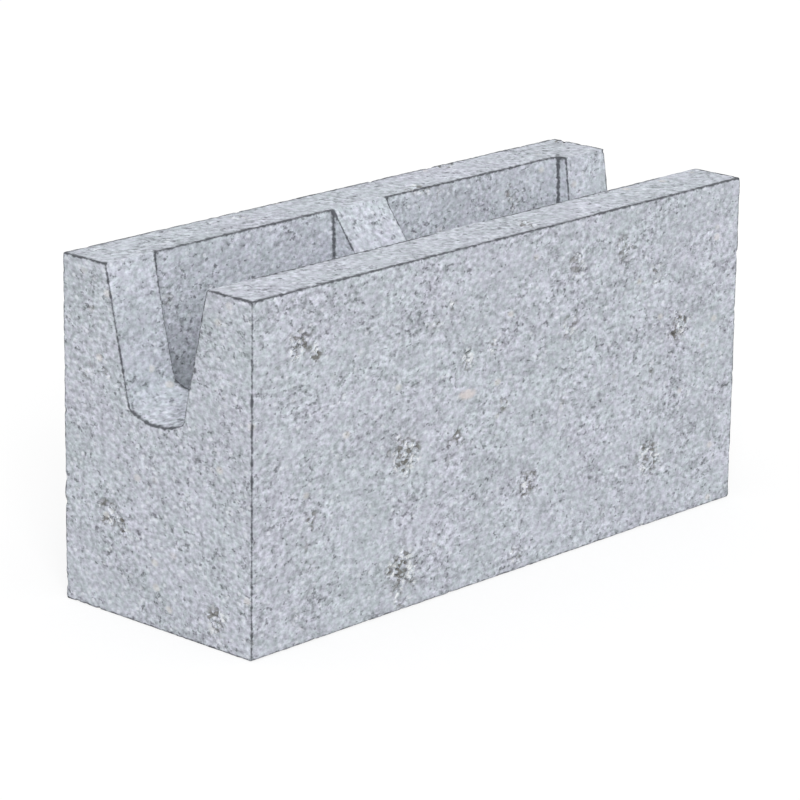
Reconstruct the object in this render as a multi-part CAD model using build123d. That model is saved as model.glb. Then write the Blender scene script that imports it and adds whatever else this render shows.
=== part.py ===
"""Hollow concrete bond-beam block, cast as one piece, in millimetres.

Two tapered cores run from top to base. A channel for a bar runs along the top from
end to end: it is a deep round-bottomed notch in each end web, and a wide shallow one
in the middle web. X runs along the block, Y across it and Z up, and the origin is
the centre of the base. The deep notch at the +X end has a step on its +Y side, and
the middle web stands a little nearer to the -X end, so the +X core is the longer one.
"""

from build123d import *
from math import atan, degrees, radians, tan
import os

# Outer size
length = 390.0
width = 140.0
height = 190.0

# Wall thicknesses at the top, where the walls are thinnest
face_shell_top = 33.0
end_web_top = 34.5
middle_web_top = 42.0
middle_web_offset = -5.5  # from the middle of the block to the middle of the web

# Wall thicknesses at the base, since the cores taper so that they leave the mould
face_shell_base = 42.0
end_web_base = 36.5
middle_web_base = 46.0
core_corner_radius = 1.5

# Deep notch in each end web: flat sides down to two knees, joined by an arc
end_notch_slope = 13.0  # degrees from the vertical
knee_depth = 74.8  # below the top, at the end face
knee_radius = 3.0
arc_drop = 4.8  # how far the arc drops below the knees
floor_climb = 9.0  # how much shallower the notch is where it meets the core
notch_step = 6.0  # the step beside the face shell, at the +X end only

# Wide notch in the middle web: two slopes and a round bottom
middle_notch_slope = 37.6  # degrees from the vertical
middle_notch_radius = 18.0

# How far each cutting shape runs past the surface that it cuts
overshoot = 5.0


def draft_angle(thickening):
    """The draft, in degrees, that makes a wall thicker by that much at the base."""
    return -degrees(atan(thickening / height))


def core(side):
    """A through core on the -X side (-1) or the +X side (1), narrower at the base."""
    at_end_web = side * (length / 2 - end_web_top)
    at_middle_web = middle_web_offset + side * middle_web_top / 2
    core_length = abs(at_end_web - at_middle_web)
    core_width = width - 2 * face_shell_top
    core_height = height + 2 * overshoot
    top = Plane(((at_end_web + at_middle_web) / 2, 0, height))
    from_top = (Align.CENTER, Align.CENTER, Align.MAX)
    straight = Box(core_length, core_width, core_height, align=from_top)
    shape = top * Pos(0, 0, overshoot) * straight

    shell_draft = draft_angle(face_shell_base - face_shell_top)
    end_draft = draft_angle(end_web_base - end_web_top)
    middle_draft = draft_angle((middle_web_base - middle_web_top) / 2)
    outward = Axis((0, 0, 0), (side, 0, 0))
    shape = draft(shape.faces().filter_by(Axis.Y), top, shell_draft)
    shape = draft(shape.faces().sort_by(outward)[-1], top, end_draft)
    shape = draft(shape.faces().sort_by(outward)[0], top, middle_draft)

    rims = shape.faces().sort_by(Axis.Z)
    corners = shape.edges() - rims[0].edges() - rims[-1].edges()
    return fillet(corners, core_corner_radius)


def across(x):
    """The plane across the block at x, level with its top: its own X is the block's Y."""
    return Plane(origin=(x, 0, height), x_dir=(0, 1, 0), z_dir=(1, 0, 0))


def end_notch_section(distance, side):
    """The outline of an end notch, at a distance in from the block's end face."""
    knee_z = floor_climb * distance / end_web_top - knee_depth
    rim_y = width / 2 - face_shell_top
    knee_y = rim_y + knee_z * tan(radians(end_notch_slope))
    stepped_rim_y = rim_y - (notch_step if side > 0 else 0.0)
    outline = Polyline(
        (-knee_y, knee_z),
        (-rim_y, 0),
        (-rim_y, overshoot),
        (stepped_rim_y, overshoot),
        (stepped_rim_y, 0),
        (knee_y, knee_z),
    )
    outline += ThreePointArc((-knee_y, knee_z), (0, knee_z - arc_drop), (knee_y, knee_z))
    section = make_face(outline)
    knees = section.vertices().sort_by(Axis.Y)[:2]
    return across(side * (length / 2 - distance)) * fillet(knees, knee_radius)


def end_notch(side):
    """The deep notch through the end web on the -X side (-1) or the +X side (1)."""
    through = end_web_base + overshoot
    sections = [end_notch_section(distance, side) for distance in (-overshoot, through)]
    return loft(sections, ruled=True)


def middle_notch():
    """The wide notch through the middle web."""
    rim_y = width / 2 - face_shell_top
    slope = tan(radians(middle_notch_slope))
    point = (0, -rim_y / slope)
    above = (rim_y + overshoot * slope, overshoot)
    outline = make_face(Polyline(point, above, (-above[0], above[1]), close=True))
    outline = fillet(outline.vertices().sort_by(Axis.Y)[0], middle_notch_radius)
    reach = middle_web_base / 2 + overshoot
    return extrude(across(middle_web_offset) * outline, amount=reach, both=True)


block = Box(length, width, height, align=(Align.CENTER, Align.CENTER, Align.MIN))
for side in (-1, 1):
    block -= core(side)
    block -= end_notch(side)
block -= middle_notch()

os.makedirs("parts", exist_ok=True)
export_step(block, "parts/bond_beam_block.step")
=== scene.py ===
"""The looks of a hollow concrete bond-beam block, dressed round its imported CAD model.

The block's one node is replaced by a fine copy of its own mesh, which is worn at its
edges, grained and pitted, always inwards. Lengths of the concrete's relief and grain
are in millimetres, and everything placed in the scene is in metres.
"""

from math import cos, degrees, pi, radians, sin

import bmesh
import bpy
import numpy as np
from mathutils import Matrix, Vector


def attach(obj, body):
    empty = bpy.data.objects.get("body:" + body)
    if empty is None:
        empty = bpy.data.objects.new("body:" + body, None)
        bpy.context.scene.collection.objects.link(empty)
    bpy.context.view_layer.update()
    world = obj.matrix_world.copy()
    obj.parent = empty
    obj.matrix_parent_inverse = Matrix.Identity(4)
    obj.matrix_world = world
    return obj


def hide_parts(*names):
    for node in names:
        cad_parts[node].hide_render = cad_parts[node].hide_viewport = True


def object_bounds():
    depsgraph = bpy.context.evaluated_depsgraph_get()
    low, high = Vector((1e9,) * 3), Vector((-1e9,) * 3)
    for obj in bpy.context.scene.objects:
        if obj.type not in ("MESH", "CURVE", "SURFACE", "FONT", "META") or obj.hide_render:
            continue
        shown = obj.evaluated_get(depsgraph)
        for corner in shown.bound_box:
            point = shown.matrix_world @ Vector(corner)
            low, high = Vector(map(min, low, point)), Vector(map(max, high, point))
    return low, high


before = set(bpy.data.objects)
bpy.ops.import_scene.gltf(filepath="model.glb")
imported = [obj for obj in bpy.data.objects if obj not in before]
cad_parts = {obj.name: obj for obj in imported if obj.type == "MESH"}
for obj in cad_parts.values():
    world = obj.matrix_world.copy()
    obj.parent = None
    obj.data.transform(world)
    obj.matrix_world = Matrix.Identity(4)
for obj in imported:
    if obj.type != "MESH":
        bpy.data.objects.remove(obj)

cad_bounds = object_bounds()

MM = 0.001
NODE = "bond_beam_block"

# The fine mesh
CELL = 1.15  # across one cell of the even mesh
TRIANGLES = 190000  # what is left after the flat places are thinned out
CREASE = 32.0  # degrees between two facets from which the edge between them is crisp

# Which of the solid's edges are which
ARRIS_TURN = 20.0  # degrees that two faces turn apart at an arris, at least
SHOULDER_LEAN = 0.1  # an arris whose two faces both look up by more is a notch's shoulder
CORNER_TURN = 2.0  # degrees that two facets of a core's rounded corner turn, at least
CORNER_LENGTH = 100.0  # of the edge between two such facets, at least
CORNER_WIDTH = 8.0  # within which such edges belong to the same corner
EDGE_REACH = 4.0  # beyond which the distance to an edge isn't worked out
TOP_SPREAD = 0.9  # how much further an arris's painted outline spreads over a face that looks up

# Worn arrises
EDGE_PULL = 0.75  # how far the even cells' cut-off arris is drawn back out
WEAR_STEPS = 1  # smoothing steps that round an arris lightly
WEAR_SIZE = 9.0  # of the stretches that are rounded more or less
CHIP_STEPS = 18  # smoothing steps that take a chip off it
CHIP_SIZE, CHIP_RAGGED = 8.0, 3.1  # of a chip, and of the raggedness of its rim
CHIP_DEPTH = 0.4  # how much a chip takes of what those steps would

# Relief, in millimetres inwards
INSET = 0.2
LEAST_INSET = 0.02
WAVE_SIZE, WAVE_DEPTH = 42.0, 0.10
LUMP_SIZE, LUMP_DEPTH = 6.5, 0.08
GRAIN_SIZE, GRAIN_DEPTH = 2.9, 0.13
PORE_SPACING, PORE_SHARE, PORE_DEPTH = 8.0, 0.45, 0.75
PORE_LEAST, PORE_SPREAD = 0.09, 0.13  # of a pore's radius, in spacings

# Places where the concrete is open between its grains
OPEN_GRAIN, OPEN_DEPTH = 3.4, 1.5  # the size of the grains there, and how deep the gaps are
OPEN_SPACING = 34.0  # of the places that are scattered over the whole block
OPEN_RAGGED = 7.0  # size of the raggedness of every such place's rim
OPEN_PATCHES = [  # the places that the photo shows: x, y, z, radius, and how open
    (-162, -70, 161, 9, 0.9),
    (-149, -70, 154, 5, 1.0),
    (-80, -70, 85, 13, 1.0),
    (-84, -70, 23, 13, 1.0),
    (-34, -70, 128, 7, 0.9),
    (-12, -70, 131, 6, 0.8),
    (50, -70, 131, 8, 0.7),
    (54, -70, 165, 8, 0.7),
    (93, -70, 167, 9, 0.6),
    (144, -70, 112, 10, 1.0),
    (121, -70, 40, 12, 0.9),
    (16, -70, 47, 9, 0.8),
    (-4, -70, 98, 5, 0.9),
    (8, -70, 8, 6, 0.8),
    (-195, -44, 15, 10, 0.9),
    (-195, 39, 130, 5, 0.7),
    (-76, 60, 190, 6, 0.8),
]

# The one large pale stone on the long face
STONE_PLACE = (-34, -70, 109)
STONE_REACH = (8.5, 3.0, 3.2)  # from its centre, along each axis
STONE_RAGGED = 3.0  # size and depth of the raggedness of its rim

# Seeds of the random patterns; the last two use the next number as well
WAVE_SEED, LUMP_SEED, GRAIN_SEED = 1, 2, 3
WEAR_SEED, CHIP_RAGGED_SEED, CHIP_SEED = 11, 13, 14
OPEN_RAGGED_SEED, OPEN_SEED = 21, 22
PORE_SEED, OPEN_GRAIN_SEED = 31, 41

# How large the patterns of the concrete's colour are, and how much they lighten or darken it
GRAIN_LIE = (0.77, 0.77, 1.0)  # they lie flat, as pressed: below 1, longer along that axis
TINT_SIZE, BROAD_SIZE = 2.6, 30.0  # the fine and the broad mix of the two pastes
TINT_SHARE, BROAD_SHARE = 0.7, 0.3
CLOUD_SIZE, CLOUD_RANGE = 24.0, (0.91, 1.09)  # soft clouds
REGION_SIZE = 16.0  # places where the grain is calm or coarse
CALM_TO_COARSE = (0.62, 1.05)  # how much of the grain those have
FINE_SIZE, FINE_RANGE = 2.3, (-0.5, 0.44)  # the light and dark grain itself, partly its own tone and partly painted shade where the bump goes in
GAP_SIZE, GAP_SHADE = 2.7, 0.5  # painted shade in short gaps between grains
GAP_LEVEL = 0.35  # of their noise, below which there is a gap
GAPS_BY_REGION = (-0.03, 0.05)  # what a calm and a coarse place add to that level
GAPS_WHERE_OPEN = 0.04  # what an open place adds to it
STROKE_SIZE = 3.2  # painted shade in strokes where the concrete is open
LIGHT_SPECKS = (3.2, 0.15, 0.42)  # spacing, the share of places with one, its reach in spacings
CREAM_SPECKS = (7.5, 0.05, 0.34)

# The concrete's colours, as on a screen, from 0 to 255, and how much of each shows at most
BLUE_PASTE, VIOLET_PASTE = (178, 186, 191), (188, 189, 201)
# painted shade in the hollows between open grains, and the near-white grains' own colour
OPEN_GAP_SHADE, OPEN_GAP_SHADE_SHARE = (94, 91, 83), 0.78
OPEN_BRIGHT, OPEN_BRIGHT_SHARE = (230, 232, 233), 0.7
LIGHT_SPECK, LIGHT_SHARE = (229, 232, 238), 0.45
CREAM_SPECK, CREAM_SHARE = (216, 210, 203), 0.4
STONE_COLOUR, STONE_SHARE = (217, 206, 202), 0.65
# painted shade in the pores and open gaps, darker the deeper they go
PIT_SHADE, PIT_SHADE_SHARE = (104, 101, 95), 0.4
OUTLINE_AND_CORNER_SHADE, OUTLINE_AND_CORNER_SHARE = (62, 64, 69), 0.9  # a painted dark outline along the arrises, and painted shade in the cores' corners
LINE_REACH, LINE_CORE = 1.4, 0.6  # how far from an edge its line ends, and is whole
LINE_WANDER = 0.5  # how far the line strays

# How the concrete takes the light
ROUGHEST, SMOOTHEST = 0.97, 0.85
GLOSS = 0.3
BUMP_STRENGTH, BUMP_DEPTH = 0.6, 0.9  # the finest relief, which only the light shows
GAP_BUMP = 0.4  # how far a dark gap goes in, beside the grain

# Light and floor
SKY = 0.84  # how strongly the plain sky lights the object, where 1 alone would be full
SUN = 0.73  # how strongly the soft sun lights a surface that faces it
SUN_FROM = (-0.61, -0.66, 0.43)
SUN_WIDTH = 30.0  # degrees across, for soft shadows
FLOOR_HALF = 8.0  # from the floor's middle to its sides
FLOOR_GREY = 0.3  # how much light the floor gives back
FLOOR_GLOW = 0.68  # what the floor needs to be seen as white where nothing shades it

# The camera, fitted to the block's corners in the photo, then 0.5% nearer for its outline
IMAGE_SIZE = 800  # the photo's width and height, in pixels
FOCAL_PIXELS = 3870.2
SENSOR = 36.0  # millimetres across
AZIMUTH, ELEVATION, ROLL = radians(-47.161), radians(16.488), radians(0.773)
AIM = Vector((0, 0, 0.095))  # the block's middle
DISTANCE = 2.1269  # back from it
ASIDE, ABOVE = -0.007552, -0.010451  # and then along the picture's own sides


# Random patterns


def random_bits(cells, seed):
    """A repeatable 64-bit random number for each row of three whole numbers."""
    # All the large numbers here are odd, and only scatter the bits
    primes = np.array([73856093, 19349663, 83492791], dtype=np.uint64)
    bits = (cells.astype(np.int64).astype(np.uint64) * primes).sum(axis=-1)
    bits = bits + np.uint64(seed) * np.uint64(2654435761)
    for shift in (33, 29):
        bits = (bits ^ (bits >> np.uint64(shift))) * np.uint64(0xFF51AFD7ED558CCD)
    return bits ^ (bits >> np.uint64(32))


def random_triple(cells, seed):
    """Three repeatable random numbers, 0 to 1, for each row of three whole numbers."""
    bits = random_bits(cells, seed)
    parts = [(bits >> np.uint64(21 * k)) & np.uint64(0x1FFFFF) for k in range(3)]
    return np.stack(parts, axis=-1) / 2.0**21


def smoothstep(low, high, value):
    """0 up to low, 1 from high on, and an eased ramp between them."""
    t = np.clip((value - low) / (high - low), 0.0, 1.0)
    return t * t * (3.0 - 2.0 * t)


def noise(points, size, seed):
    """Soft noise, about -1 to 1, whose bumps are about size across."""
    scaled = points / size
    home = np.floor(scaled)
    inside = scaled - home
    ease = inside**3 * (inside * (inside * 6.0 - 15.0) + 10.0)
    total = np.zeros(len(points))
    for corner in np.ndindex(2, 2, 2):
        gradient = random_triple(home + corner, seed) * 2.0 - 1.0
        weight = np.where(np.array(corner) == 1, ease, 1.0 - ease).prod(axis=1)
        total += weight * ((inside - corner) * gradient).sum(axis=1)
    return total * 1.8  # which brings it to about -1 to 1


def nearest_seeds(points, size, seed):
    """Distances, in sizes, to the two nearest seeds of a loose grid, and the nearest's own number."""
    scaled = points / size
    home = np.floor(scaled)
    first = np.full(len(points), 9.0)  # farther than any seed that is looked at
    second = first.copy()
    owner = home.copy()
    for step in np.ndindex(3, 3, 3):
        cell = home + step - 1
        apart = np.linalg.norm(scaled - cell - random_triple(cell, seed), axis=1)
        closer = apart < first
        second = np.where(closer, first, np.minimum(second, apart))
        owner[closer] = cell[closer]
        first = np.minimum(first, apart)
    return first, second, random_triple(owner, seed + 1)


# From the solid to a fine mesh


def fine_copy(source, name):
    """A copy of a solid as one closed mesh of even cells."""
    piece = bpy.data.objects.new(name, source.data.copy())
    bpy.context.scene.collection.objects.link(piece)
    remesh = piece.modifiers.new("even cells", "REMESH")
    remesh.mode = "VOXEL"
    remesh.voxel_size = CELL * MM
    apply_modifiers(piece)
    return piece


def thin_out(piece):
    """Merges the triangles of flat places until TRIANGLES are left."""
    thin = piece.modifiers.new("thin out the flat places", "DECIMATE")
    thin.ratio = TRIANGLES / (2 * len(piece.data.polygons))  # each face counts as two triangles
    thin.use_collapse_triangulate = True
    apply_modifiers(piece)
    keep_inside(piece.data)


def apply_modifiers(piece):
    """Makes what the modifiers show the piece's own mesh."""
    evaluated = piece.evaluated_get(bpy.context.evaluated_depsgraph_get())
    mesh = bpy.data.meshes.new_from_object(evaluated)
    piece.modifiers.clear()
    piece.data = mesh


def keep_inside(mesh):
    """Moves any point that thinning put outside the solid's box back into it."""
    points, _ = read_points(mesh)
    low, high = [np.array(corner) / MM for corner in cad_bounds]
    points = np.clip(points, low + LEAST_INSET, high - LEAST_INSET)
    mesh.vertices.foreach_set("co", (points * MM).ravel())
    mesh.update()


def read_points(mesh):
    """The mesh's points, in millimetres, and its normals."""
    points = np.empty(len(mesh.vertices) * 3)
    mesh.vertices.foreach_get("co", points)
    normals = np.empty(len(mesh.vertices) * 3, dtype=np.float32)
    mesh.vertex_normals.foreach_get("vector", normals)
    return points.reshape(-1, 3) / MM, normals.reshape(-1, 3).astype(float)


def read_links(mesh):
    """The two points that each of the mesh's edges links."""
    links = np.empty(len(mesh.edges) * 2, dtype=np.int32)
    mesh.edges.foreach_get("vertices", links)
    return links.reshape(-1, 2)


# The solid's edges


def read_edges(mesh):
    """The solid's arrises, the notches' shoulders, and the lines down its rounded inner corners.

    Each edge is given by its two ends, in millimetres.
    """
    solid = bmesh.new()
    solid.from_mesh(mesh)
    bmesh.ops.remove_doubles(solid, verts=solid.verts, dist=0.001 * MM)
    arrises, shoulders, corners = [], [], []
    for edge in solid.edges:
        if not edge.is_manifold:
            continue
        turn = degrees(edge.calc_face_angle_signed())
        ends = sorted((tuple(vertex.co / MM) for vertex in edge.verts), key=lambda end: end[2])
        if turn > ARRIS_TURN and min(face.normal.z for face in edge.link_faces) > SHOULDER_LEAN:
            shoulders.append(ends)
        elif turn > ARRIS_TURN:
            arrises.append(ends)
        elif turn < -CORNER_TURN and edge.calc_length() > CORNER_LENGTH * MM:
            corners.append(ends)
    solid.free()
    return arrises, shoulders, averaged(corners)


def averaged(edges):
    """One line in place of each bunch of edges that lie side by side."""
    bunches = []
    for ends in np.array(edges):
        for bunch in bunches:
            if np.linalg.norm(bunch[0] - ends, axis=1).max() < CORNER_WIDTH:
                bunch.append(ends)
                break
        else:
            bunches.append([ends])
    return [np.mean(bunch, axis=0) for bunch in bunches]


def nearest_on_edges(points, edges):
    """How far each point is from the nearest edge, up to EDGE_REACH, and the place there."""
    nearest = np.full(len(points), EDGE_REACH)
    places = points.copy()
    for start, end in np.array(edges):
        low = np.minimum(start, end) - EDGE_REACH
        high = np.maximum(start, end) + EDGE_REACH
        close = np.flatnonzero(((points > low) & (points < high)).all(axis=1))
        along = end - start
        share = np.clip((points[close] - start) @ along / (along @ along), 0.0, 1.0)
        there = start + share[:, None] * along
        apart = np.linalg.norm(points[close] - there, axis=1)
        closer = apart < nearest[close]
        nearest[close[closer]] = apart[closer]
        places[close[closer]] = there[closer]
    return nearest, places


def from_dark_lines(points, normals, arrises, corners):
    """How far each point is from an arris or a core's corner, in millimetres, for the painted outline
    and corner shade.

    On a face that looks up, an arris counts as nearer, so that its line shows there as well.
    A notch's shoulder has no dark line.
    """
    from_arris, _ = nearest_on_edges(points, arrises)
    from_corner, _ = nearest_on_edges(points, corners)
    from_arris /= 1.0 + TOP_SPREAD * smoothstep(0.6, 0.9, normals[:, 2])
    return np.minimum(from_arris, from_corner)


# Wear and relief


def crisp(points, edges):
    """The points with those beside an arris drawn back to it, which the even cells cut off."""
    apart, places = nearest_on_edges(points, edges)
    pull = EDGE_PULL * smoothstep(1.0, 0.5, apart / CELL)
    return points + (places - points) * pull[:, None]


def smoothed(points, links, steps):
    """The points after each has moved to the middle of its neighbours, that many times."""
    count = len(points)
    both = np.concatenate([links, links[:, ::-1]])
    share = 1.0 / np.bincount(both[:, 0], minlength=count)
    for _ in range(steps):
        sums = [np.bincount(both[:, 0], points[both[:, 1], k], count) for k in range(3)]
        points = np.stack(sums, axis=1) * share[:, None]
    return points


def worn(points, normals, links):
    """The points with every arris rounded unevenly, and a chip taken here and there."""
    soft = smoothed(points, links, WEAR_STEPS)
    softer = smoothed(soft, links, CHIP_STEPS)
    rounding = np.clip(0.5 + 0.6 * noise(points, WEAR_SIZE, WEAR_SEED), 0.0, 1.0)
    ragged = noise(points, CHIP_RAGGED, CHIP_RAGGED_SEED)
    bite = noise(points, CHIP_SIZE, CHIP_SEED) + 0.5 * ragged
    exposed = smoothstep(0.1, 0.5, ((points - softer) * normals).sum(axis=1))
    chip = smoothstep(0.5, 1.0, bite) * exposed
    shaped = points + (soft - points) * rounding[:, None]
    shaped += (softer - shaped) * (CHIP_DEPTH * chip)[:, None]
    return shaped


def open_texture(points):
    """How open the concrete is at each point, from 0 to 1."""
    ragged = noise(points, OPEN_RAGGED, OPEN_RAGGED_SEED)
    scattered = smoothstep(0.52, 0.85, noise(points, OPEN_SPACING, OPEN_SEED))
    amount = scattered * smoothstep(-0.2, 0.4, ragged)
    for x, y, z, radius, how_open in OPEN_PATCHES:
        apart = np.linalg.norm(points - (x, y, z), axis=1) / radius
        amount = np.maximum(amount, how_open * smoothstep(1.15, 0.45, apart - 0.45 * ragged))
    return amount


def pitted(points, openness):
    """How deep the pores and the gaps between open grains are, in millimetres."""
    first, _, number = nearest_seeds(points, PORE_SPACING, PORE_SEED)
    radius = (PORE_LEAST + PORE_SPREAD * number[:, 0]) * (number[:, 1] < PORE_SHARE)
    hollow = np.clip(1.0 - (first / np.maximum(radius, 1e-6)) ** 2, 0.0, 1.0)
    depth = PORE_DEPTH * np.sqrt(hollow)

    some = openness > 0.01
    first, second, number = nearest_seeds(points[some], OPEN_GRAIN, OPEN_GRAIN_SEED)
    gap = smoothstep(0.26, 0.04, second - first) * smoothstep(0.15, 0.5, number[:, 0])
    depth[some] += OPEN_DEPTH * openness[some] * gap
    return depth


def relief(points, pits):
    """How far each point goes inwards, in millimetres: its pit, and the waves, lumps and grain."""
    depth = INSET + pits
    depth += WAVE_DEPTH * noise(points, WAVE_SIZE, WAVE_SEED)
    depth += LUMP_DEPTH * noise(points, LUMP_SIZE, LUMP_SEED)
    depth += GRAIN_DEPTH * noise(points, GRAIN_SIZE, GRAIN_SEED)
    return np.maximum(depth, LEAST_INSET)


def store(mesh, name, values):
    """Keeps one number for each point of the mesh, for the material."""
    mesh.attributes.new(name, "FLOAT", "POINT").data.foreach_set("value", values)


def make_block():
    """The concrete block: the solid's own shape, worn, grained and pitted."""
    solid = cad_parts[NODE]
    piece = fine_copy(solid, "concrete_block")
    mesh = piece.data
    points, normals = read_points(mesh)
    arrises, shoulders, corners = read_edges(solid.data)
    openness = open_texture(points)
    pits = pitted(points, openness)

    shaped = worn(crisp(points, arrises + shoulders), normals, read_links(mesh))
    shaped -= normals * relief(points, pits)[:, None]
    mesh.vertices.foreach_set("co", (shaped * MM).ravel())
    # The pits' depth, which the material turns into painted shade
    store(mesh, "pit", np.clip(pits / OPEN_DEPTH, 0.0, 1.0))
    store(mesh, "open", openness)
    # How far to an arris's painted outline or a core corner's painted shade
    store(mesh, "from_edge", from_dark_lines(points, normals, arrises, corners))
    mesh.update()

    thin_out(piece)
    piece.data.shade_smooth()
    piece.data.set_sharp_from_angle(angle=radians(CREASE))

    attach(piece, "root")
    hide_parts(NODE)
    return piece


# Nodes of a material


def add(tree, kind, inputs=None, **settings):
    """A new node, with each input given as a value or as the socket that feeds it."""
    node = tree.nodes.new(kind)
    for name, value in settings.items():
        setattr(node, name, value)
    for name, value in (inputs or {}).items():
        if isinstance(value, bpy.types.NodeSocket):
            tree.links.new(value, node.inputs[name])
        else:
            node.inputs[name].default_value = value
    return node


def ramp(tree, value, low, high, start=0.0, end=1.0):
    """A value mapped evenly from low..high to start..end, and held beyond them."""
    inputs = {"Value": value, "From Min": low, "From Max": high, "To Min": start, "To Max": end}
    return add(tree, "ShaderNodeMapRange", inputs).outputs["Result"]


def maths(tree, operation, first, second):
    """The sum, product or the like of two values."""
    return add(tree, "ShaderNodeMath", {0: first, 1: second}, operation=operation).outputs[0]


def times(tree, first, second):
    """The product of two values."""
    return maths(tree, "MULTIPLY", first, second)


def vector_maths(tree, operation, first, second):
    """The sum, product or the like of two vectors, axis by axis."""
    return add(tree, "ShaderNodeVectorMath", {0: first, 1: second}, operation=operation).outputs[0]


def mixed(tree, share, first, second, blend="MIX"):
    """Two colours mixed; share 1 is all of the second."""
    # This kind of node takes colours at its inputs 6 and 7 and gives one at its output 2
    inputs = {"Factor": share, 6: first, 7: second}
    return add(tree, "ShaderNodeMix", inputs, data_type="RGBA", blend_type=blend).outputs[2]


def srgb(colour):
    """A screen colour, 0 to 255, as the linear colour that a socket takes."""
    parts = [part / 255.0 for part in colour]
    return (*[v / 12.92 if v <= 0.04045 else ((v + 0.055) / 1.055) ** 2.4 for v in parts], 1.0)


def grey_of(tree, value):
    """A grey of that value, to multiply a colour by."""
    inputs = {"Red": value, "Green": value, "Blue": value}
    return add(tree, "ShaderNodeCombineColor", inputs).outputs["Color"]


def stored(tree, name):
    """The number of that name that the mesh keeps for each of its points."""
    return add(tree, "ShaderNodeAttribute", attribute_name=name).outputs["Fac"]


def noise_node(tree, where, size, detail=2.0, rough=0.5):
    """Noise with bumps of that many millimetres, from 0 to 1."""
    inputs = {"Vector": where, "Scale": 1.0 / (size * MM), "Detail": detail, "Roughness": rough}
    return add(tree, "ShaderNodeTexNoise", inputs).outputs["Fac"]


def specks(tree, where, size, share, reach):
    """Spots in that share of the cells, each reaching that part of a cell from its seed."""
    cells = add(tree, "ShaderNodeTexVoronoi", {"Vector": where, "Scale": 1.0 / (size * MM)}).outputs
    chosen = add(tree, "ShaderNodeSeparateColor", {"Color": cells["Color"]}).outputs["Red"]
    picked = ramp(tree, chosen, share, share - 0.02)
    return times(tree, ramp(tree, cells["Distance"], reach, reach * 0.5), picked)


# The concrete's material


def paste(tree, where):
    """The colour of blue-grey and violet-grey paste, in a fine mix and faintly in broad patches."""
    tint = times(tree, noise_node(tree, where, TINT_SIZE, rough=0.7), TINT_SHARE)
    broad = times(tree, noise_node(tree, where, BROAD_SIZE), BROAD_SHARE)
    violet = ramp(tree, maths(tree, "ADD", tint, broad), 0.38, 0.62)
    return mixed(tree, violet, srgb(BLUE_PASTE), srgb(VIOLET_PASTE))


def gap_shade_mask(tree, gaps, region, opened):
    """Painted shade in short gaps between grains, denser where the grain is coarse and densest where
    the concrete is open.
    """
    by_region = ramp(tree, region, 0.35, 0.65, *GAPS_BY_REGION)
    density = maths(tree, "ADD", by_region, times(tree, opened, GAPS_WHERE_OPEN))
    level = maths(tree, "ADD", density, GAP_LEVEL)
    return ramp(tree, maths(tree, "SUBTRACT", level, gaps), -0.03, 0.05)


def grain_shade(tree, where, fine, region, painted_gap_shade):
    """A light and dark grain, calm or coarse by region, on soft clouds, with the painted shade of its
    gaps.
    """
    coarse = ramp(tree, region, 0.35, 0.65, *CALM_TO_COARSE)
    # Darker where the bump below goes in: partly the grain's own tone, partly painted shade in the
    # low places
    grain = times(tree, ramp(tree, fine, 0.25, 0.75, *FINE_RANGE), coarse)
    cloud = ramp(tree, noise_node(tree, where, CLOUD_SIZE, 4.0, 0.7), 0.3, 0.7, *CLOUD_RANGE)
    shade = times(tree, maths(tree, "ADD", grain, 1.0), cloud)
    return times(tree, shade, ramp(tree, painted_gap_shade, 0.0, 1.0, 1.0, GAP_SHADE))


def with_open_places(tree, where, colour, opened):
    """The colour with painted shade in strokes between near-white grains where the concrete is open.
    """
    strokes = noise_node(tree, where, STROKE_SIZE)
    # Painted shade in the hollows between the open grains
    hollow = times(tree, opened, ramp(tree, strokes, 0.48, 0.42))
    bright = times(tree, opened, ramp(tree, strokes, 0.56, 0.63))
    colour = mixed(tree, times(tree, hollow, OPEN_GAP_SHADE_SHARE), colour, srgb(OPEN_GAP_SHADE))
    return mixed(tree, times(tree, bright, OPEN_BRIGHT_SHARE), colour, srgb(OPEN_BRIGHT))


def with_specks(tree, where, colour):
    """The colour with small light grains, and a few larger cream ones."""
    light = times(tree, specks(tree, where, *LIGHT_SPECKS), LIGHT_SHARE)
    cream = times(tree, specks(tree, where, *CREAM_SPECKS), CREAM_SHARE)
    colour = mixed(tree, light, colour, srgb(LIGHT_SPECK))
    return mixed(tree, cream, colour, srgb(CREAM_SPECK))


def with_cream_stone(tree, place, colour):
    """The colour with the one large pale stone, a ragged oval on the long face."""
    inputs = {"Vector": place, "Scale": 1.0 / (STONE_RAGGED * MM)}
    wobble = add(tree, "ShaderNodeTexNoise", inputs).outputs["Color"]
    shift = vector_maths(tree, "SUBTRACT", wobble, (0.5, 0.5, 0.5))
    shift = vector_maths(tree, "MULTIPLY", shift, [STONE_RAGGED * MM] * 3)
    apart = vector_maths(tree, "SUBTRACT", place, Vector(STONE_PLACE) * MM)
    apart = vector_maths(tree, "ADD", apart, shift)
    share = vector_maths(tree, "MULTIPLY", apart, [1.0 / (reach * MM) for reach in STONE_REACH])
    length = add(tree, "ShaderNodeVectorMath", {0: share}, operation="LENGTH").outputs["Value"]
    shows = ramp(tree, length, 1.0, 0.5, 0.0, STONE_SHARE)
    return mixed(tree, shows, colour, srgb(STONE_COLOUR))


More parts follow.
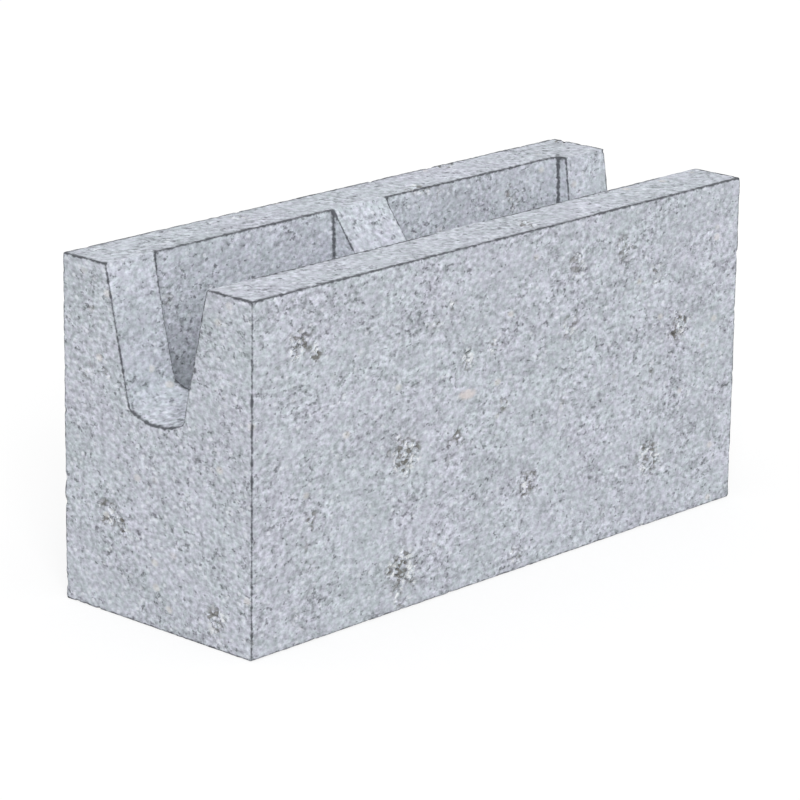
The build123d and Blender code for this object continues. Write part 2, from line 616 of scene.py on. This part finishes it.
def with_painted_shade_and_outline(tree, colour, gaps):
    """The colour with painted shade in the pits, a thin broken painted outline along arrises, and
    painted shade in the corners.
    """
    # Painted shade in the pores and open gaps, by their depth
    pits = ramp(tree, stored(tree, "pit"), 0.1, 0.8, 0.0, PIT_SHADE_SHARE)
    colour = mixed(tree, pits, colour, srgb(PIT_SHADE))
    # A painted dark outline along the arrises, and painted shade in the cores' rounded corners
    wander = ramp(tree, gaps, 0.3, 0.7, LINE_WANDER, -LINE_WANDER)
    apart = maths(tree, "ADD", stored(tree, "from_edge"), wander)
    line = ramp(tree, apart, LINE_REACH, LINE_CORE, 0.0, OUTLINE_AND_CORNER_SHARE)
    return mixed(tree, line, colour, srgb(OUTLINE_AND_CORNER_SHADE))


def concrete():
    """Bare dry-cast concrete: blue-grey paste, dark, light and cream grains, and pits, with painted
    shade in its pits, gaps and corners.
    """
    material = bpy.data.materials.new("concrete")
    material.use_nodes = True
    tree = material.node_tree
    shader = tree.nodes["Principled BSDF"]
    place = add(tree, "ShaderNodeTexCoord").outputs["Object"]
    where = vector_maths(tree, "MULTIPLY", place, GRAIN_LIE)
    opened = stored(tree, "open")
    region = noise_node(tree, where, REGION_SIZE)
    fine = noise_node(tree, where, FINE_SIZE, rough=0.55)
    gaps = noise_node(tree, where, GAP_SIZE, 2.5, 0.55)
    # Painted shade in the gaps between grains, which the bump also presses in
    painted_gap_shade = gap_shade_mask(tree, gaps, region, opened)

    shade = grain_shade(tree, where, fine, region, painted_gap_shade)
    colour = mixed(tree, 1.0, paste(tree, where), grey_of(tree, shade), "MULTIPLY")
    colour = with_open_places(tree, where, colour, opened)
    colour = with_specks(tree, where, colour)
    colour = with_cream_stone(tree, place, colour)
    colour = with_painted_shade_and_outline(tree, colour, gaps)
    tree.links.new(colour, shader.inputs["Base Color"])

    tree.links.new(ramp(tree, fine, 0.3, 0.7, ROUGHEST, SMOOTHEST), shader.inputs["Roughness"])
    shader.inputs["Specular IOR Level"].default_value = GLOSS
    height = maths(tree, "SUBTRACT", fine, times(tree, painted_gap_shade, GAP_BUMP))
    inputs = {"Height": height, "Strength": BUMP_STRENGTH, "Distance": BUMP_DEPTH * MM}
    tree.links.new(add(tree, "ShaderNodeBump", inputs).outputs["Normal"], shader.inputs["Normal"])
    return material


# Light, floor and camera


def seen_directly(tree):
    """1 for what the camera sees, itself or in a reflection or through glass, and 0 for light."""
    path = add(tree, "ShaderNodeLightPath").outputs
    seen = maths(tree, "MAXIMUM", path["Is Camera Ray"], path["Is Glossy Ray"])
    return maths(tree, "MAXIMUM", seen, path["Is Transmission Ray"])


def make_sky():
    """A white backdrop, and an even light that is a little weaker."""
    world = bpy.data.worlds.new("sky")
    bpy.context.scene.world = world
    world.use_nodes = True
    tree = world.node_tree
    background = tree.nodes["Background"]
    background.inputs["Color"].default_value = (1.0, 1.0, 1.0, 1.0)
    strength = ramp(tree, seen_directly(tree), 0.0, 1.0, SKY, 1.0)
    tree.links.new(strength, background.inputs["Strength"])


def make_sun():
    """One broad soft light, from behind the camera and a little above it."""
    lamp = bpy.data.lights.new("sun", "SUN")
    lamp.energy = SUN * pi
    lamp.angle = radians(SUN_WIDTH)
    sun = bpy.data.objects.new("sun", lamp)
    sun.rotation_mode = "QUATERNION"
    sun.rotation_quaternion = Vector(SUN_FROM).to_track_quat("Z", "Y")
    bpy.context.scene.collection.objects.link(sun)


def floor_material():
    """Grey in the light it gives back, with a glow that shows only where it is seen directly."""
    material = bpy.data.materials.new("floor")
    material.use_nodes = True
    tree = material.node_tree
    shader = tree.nodes["Principled BSDF"]
    shader.inputs["Base Color"].default_value = (FLOOR_GREY, FLOOR_GREY, FLOOR_GREY, 1.0)
    shader.inputs["Roughness"].default_value = 1.0
    shader.inputs["Specular IOR Level"].default_value = 0.0
    glow = times(tree, seen_directly(tree), FLOOR_GLOW)
    light = add(tree, "ShaderNodeEmission", {"Strength": glow})
    both = add(tree, "ShaderNodeAddShader", {0: shader.outputs[0], 1: light.outputs[0]})
    tree.links.new(both.outputs[0], tree.nodes["Material Output"].inputs["Surface"])
    return material


def make_floor():
    """A plain floor that looks white and keeps the block's soft shadow."""
    half = FLOOR_HALF
    mesh = bpy.data.meshes.new("floor")
    corners = [(-half, -half, 0), (half, -half, 0), (half, half, 0), (-half, half, 0)]
    mesh.from_pydata(corners, [], [(0, 1, 2, 3)])
    floor = bpy.data.objects.new("floor", mesh)
    bpy.context.scene.collection.objects.link(floor)
    mesh.materials.append(floor_material())


def make_camera():
    """The camera at the photo's own viewpoint."""
    back = Vector((sin(AZIMUTH) * cos(ELEVATION), -cos(AZIMUTH) * cos(ELEVATION), sin(ELEVATION)))
    level = Vector((0, 0, 1)).cross(back).normalized()
    upright = back.cross(level)
    right = level * cos(ROLL) + upright * sin(ROLL)
    up = upright * cos(ROLL) - level * sin(ROLL)
    data = bpy.data.cameras.new("camera")
    data.sensor_width = SENSOR
    data.lens = SENSOR * FOCAL_PIXELS / IMAGE_SIZE
    camera = bpy.data.objects.new("camera", data)
    camera.matrix_world = Matrix((right, up, back)).transposed().to_4x4()
    camera.location = AIM + back * DISTANCE + right * ASIDE + up * ABOVE
    bpy.context.scene.collection.objects.link(camera)
    bpy.context.scene.camera = camera


# The scene

block = make_block()
block.data.materials.clear()
block.data.materials.append(concrete())
make_sky()
make_sun()
make_floor()
make_camera()
bpy.context.scene.view_settings.view_transform = "Standard"
